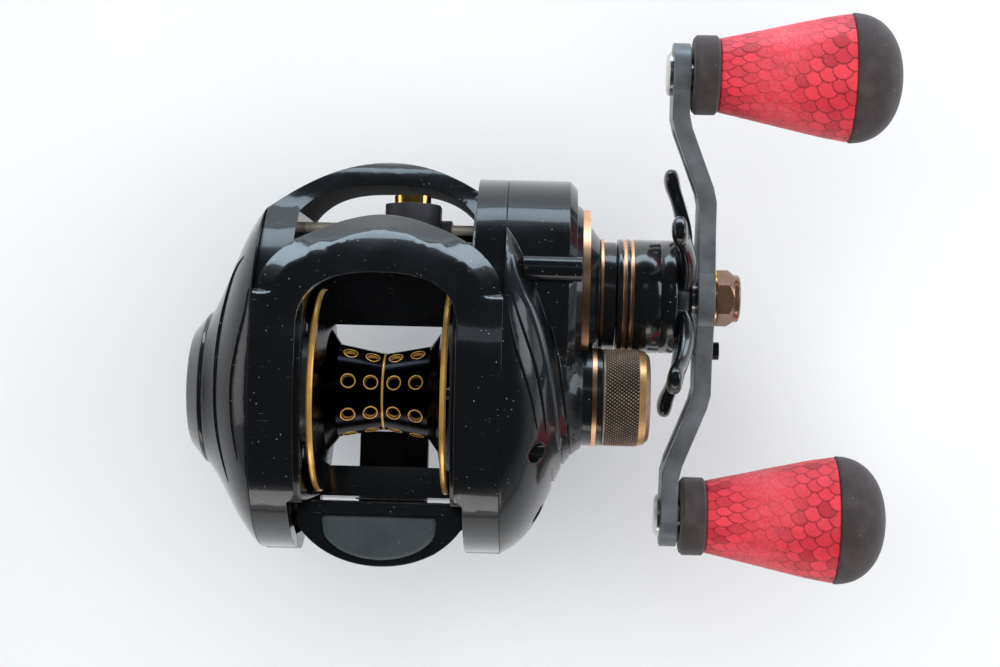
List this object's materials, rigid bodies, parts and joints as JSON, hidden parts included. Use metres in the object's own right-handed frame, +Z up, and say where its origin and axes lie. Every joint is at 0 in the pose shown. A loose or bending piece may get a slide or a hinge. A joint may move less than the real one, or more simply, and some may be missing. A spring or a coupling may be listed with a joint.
{
  "type": "baitcasting reel",
  "caption": "Low-profile baitcasting fishing reel with a ported spool, travelling line guide, thumb-bar clutch, star drag and a double-knob crank on the right.",
  "frame": {"origin": "centre of the spool, on the spool's axis", "axes": "+X along the spool's axis towards the handle, +Y forwards to where the line leaves, +Z up, away from the rod"},
  "size_m": [0.1296, 0.1072, 0.0537],
  "materials": {
    "body_black": "deep gloss, fine metallic fleck",
    "hood_black": "deep gloss",
    "foot_black": "satin",
    "screw_black": "blackened",
    "copper_trim": "polished, copper-coloured anodising",
    "bearing_steel": "ground",
    "rod_steel": "polished",
    "spool_black": "gloss anodised, gold edges",
    "shaft_steel": "ground",
    "rotor_aluminium": "machined",
    "dial_black": "gloss anodised, gold rim",
    "magnet_holder_plastic": "matt",
    "magnet_nickel": "nickel plated",
    "gear_brass": "machined",
    "yoke_plastic": "matt",
    "spring_steel": "bright",
    "thumb_bar_black": "gloss",
    "thumb_pad_rubber": "matt, finely ribbed",
    "worm_steel": "ground",
    "guide_black": "gloss",
    "guide_gold": "polished, gold-coloured hard coating",
    "carbon": "woven",
    "drag_steel": "ground",
    "star_black": "gloss, copper lines",
    "crank_gunmetal": "satin anodised",
    "washer_gold": "polished",
    "nut_bronze": "satin, bronze anodising",
    "post_steel": "satin",
    "knob_rubber": "matt",
    "grip_red": "snakeskin pattern, worn",
    "cast_bronze": "knurled, bronze anodising, gold ring"
  },
  "bodies": {
    "frame_body": {"frame": "body_black", "hood": "hood_black", "foot_front": "foot_black", "foot_rear": "foot_black", "foot_screws": "screw_black", "palm_side_plate": "body_black", "gear_side_plate": "body_black", "gear_plate_screws": "screw_black", "drive_trim_ring": "copper_trim", "drive_collar_ring": "copper_trim", "cast_collar_ring": "copper_trim", "oil_port": "body_black", "spool_bearing_left": "bearing_steel", "spool_bearing_middle": "bearing_steel", "spool_bearing_right": "bearing_steel", "pinion_bearing": "bearing_steel", "drive_shaft_bearing": "bearing_steel", "one_way_bearing": "bearing_steel", "worm_bushings": "gear_brass", "guide_rod": "rod_steel"},
    "spool_body": {"spool": "spool_black", "spool_shaft": "shaft_steel", "clutch_pin": "shaft_steel", "brake_rotor": "rotor_aluminium"},
    "brake_dial_body": {"brake_dial": "dial_black"},
    "magnet_body": {"magnet_holder": "magnet_holder_plastic", "brake_magnets": "magnet_nickel"},
    "yoke_body": {"clutch_yoke": "yoke_plastic", "yoke_springs": "spring_steel"},
    "pinion_body": {"pinion_gear": "gear_brass"},
    "cam_body": {"clutch_cam": "shaft_steel"},
    "thumb_body": {"thumb_bar": "thumb_bar_black", "thumb_pad": "thumb_pad_rubber"},
    "worm_body": {"worm_shaft": "worm_steel", "worm_gear": "yoke_plastic"},
    "guide_body": {"line_guide": "guide_black", "guide_insert": "guide_gold", "pawl": "shaft_steel"},
    "handle_body": {"drive_shaft": "shaft_steel", "level_wind_gear": "yoke_plastic", "drive_gear": "gear_brass", "drag_washers": "carbon", "drag_plate": "drag_steel", "anti_reverse_sleeve": "shaft_steel", "spring_washers": "spring_steel", "handle_crank": "crank_gunmetal", "handle_washer": "washer_gold", "handle_nut": "nut_bronze", "nut_lock_screw": "screw_black", "knob_posts": "post_steel"},
    "star_body": {"star_drag": "star_black"},
    "knob_front_body": {"knob_core_front": "knob_rubber", "knob_grip_front": "grip_red", "knob_cap_front": "knob_rubber", "knob_bearings_front": "bearing_steel"},
    "knob_rear_body": {"knob_core_rear": "knob_rubber", "knob_grip_rear": "grip_red", "knob_cap_rear": "knob_rubber", "knob_bearings_rear": "bearing_steel"},
    "cast_knob_body": {"cast_control_knob": "cast_bronze"}
  },
  "joints": [
    {"name": "handle_turn", "type": "hinge", "parent": "frame_body", "child": "handle_body", "pos_m": [0, 0.0192, -0.0058], "axis": [1, 0, 0], "continuous": true},
    {"name": "spool_spin", "type": "hinge", "parent": "frame_body", "child": "spool_body", "pos_m": [0, 0, 0], "axis": [1, 0, 0], "continuous": true},
    {"name": "yoke_slide", "type": "slide", "parent": "frame_body", "child": "yoke_body", "axis": [1, 0, 0], "range_m": [0, 0.0015], "deforming": ["yoke_springs"]},
    {"name": "pinion_spin", "type": "hinge", "parent": "yoke_body", "child": "pinion_body", "pos_m": [0, 0, 0], "axis": [1, 0, 0], "continuous": true},
    {"name": "cam_turn", "type": "hinge", "parent": "frame_body", "child": "cam_body", "pos_m": [0, 0, 0], "axis": [1, 0, 0], "range_deg": [0, 40]},
    {"name": "thumb_press", "type": "slide", "parent": "frame_body", "child": "thumb_body", "axis": [0, 0, -1], "range_m": [0, 0.0045]},
    {"name": "worm_spin", "type": "hinge", "parent": "frame_body", "child": "worm_body", "pos_m": [0, 0.02699, -0.0103], "axis": [1, 0, 0], "continuous": true},
    {"name": "guide_slide", "type": "slide", "parent": "frame_body", "child": "guide_body", "axis": [1, 0, 0], "range_m": [-0.0114, 0.0026]},
    {"name": "star_turn", "type": "hinge", "parent": "handle_body", "child": "star_body", "pos_m": [0, 0.0192, -0.0058], "axis": [1, 0, 0], "range_deg": [-270, 270]},
    {"name": "knob_front_spin", "type": "hinge", "parent": "handle_body", "child": "knob_front_body", "pos_m": [0, 0.06062, -0.00145], "axis": [1, 0, 0], "continuous": true},
    {"name": "knob_rear_spin", "type": "hinge", "parent": "handle_body", "child": "knob_rear_body", "pos_m": [0, -0.02222, -0.01015], "axis": [1, 0, 0], "continuous": true},
    {"name": "cast_knob_turn", "type": "hinge", "parent": "frame_body", "child": "cast_knob_body", "pos_m": [0, 0, 0], "axis": [1, 0, 0], "range_deg": [-360, 360]},
    {"name": "brake_dial_turn", "type": "hinge", "parent": "frame_body", "child": "brake_dial_body", "pos_m": [0, 0, 0], "axis": [1, 0, 0], "range_deg": [-135, 135]},
    {"name": "magnet_slide", "type": "slide", "parent": "frame_body", "child": "magnet_body", "axis": [1, 0, 0], "range_m": [-0.0015, 0.0015]}
  ],
  "couplings": [
    {"joint": "spool_spin", "follows": "handle_turn", "ratio": -7.2},
    {"joint": "pinion_spin", "follows": "handle_turn", "ratio": -7.2},
    {"joint": "worm_spin", "follows": "handle_turn", "ratio": -1.25},
    {"joint": "yoke_slide", "follows": "thumb_press", "ratio": 0.33333},
    {"joint": "cam_turn", "follows": "thumb_press", "rad_per_m": 155.14},
    {"joint": "magnet_slide", "follows": "brake_dial_turn", "m_per_rad": 0.00063661}
  ]
}
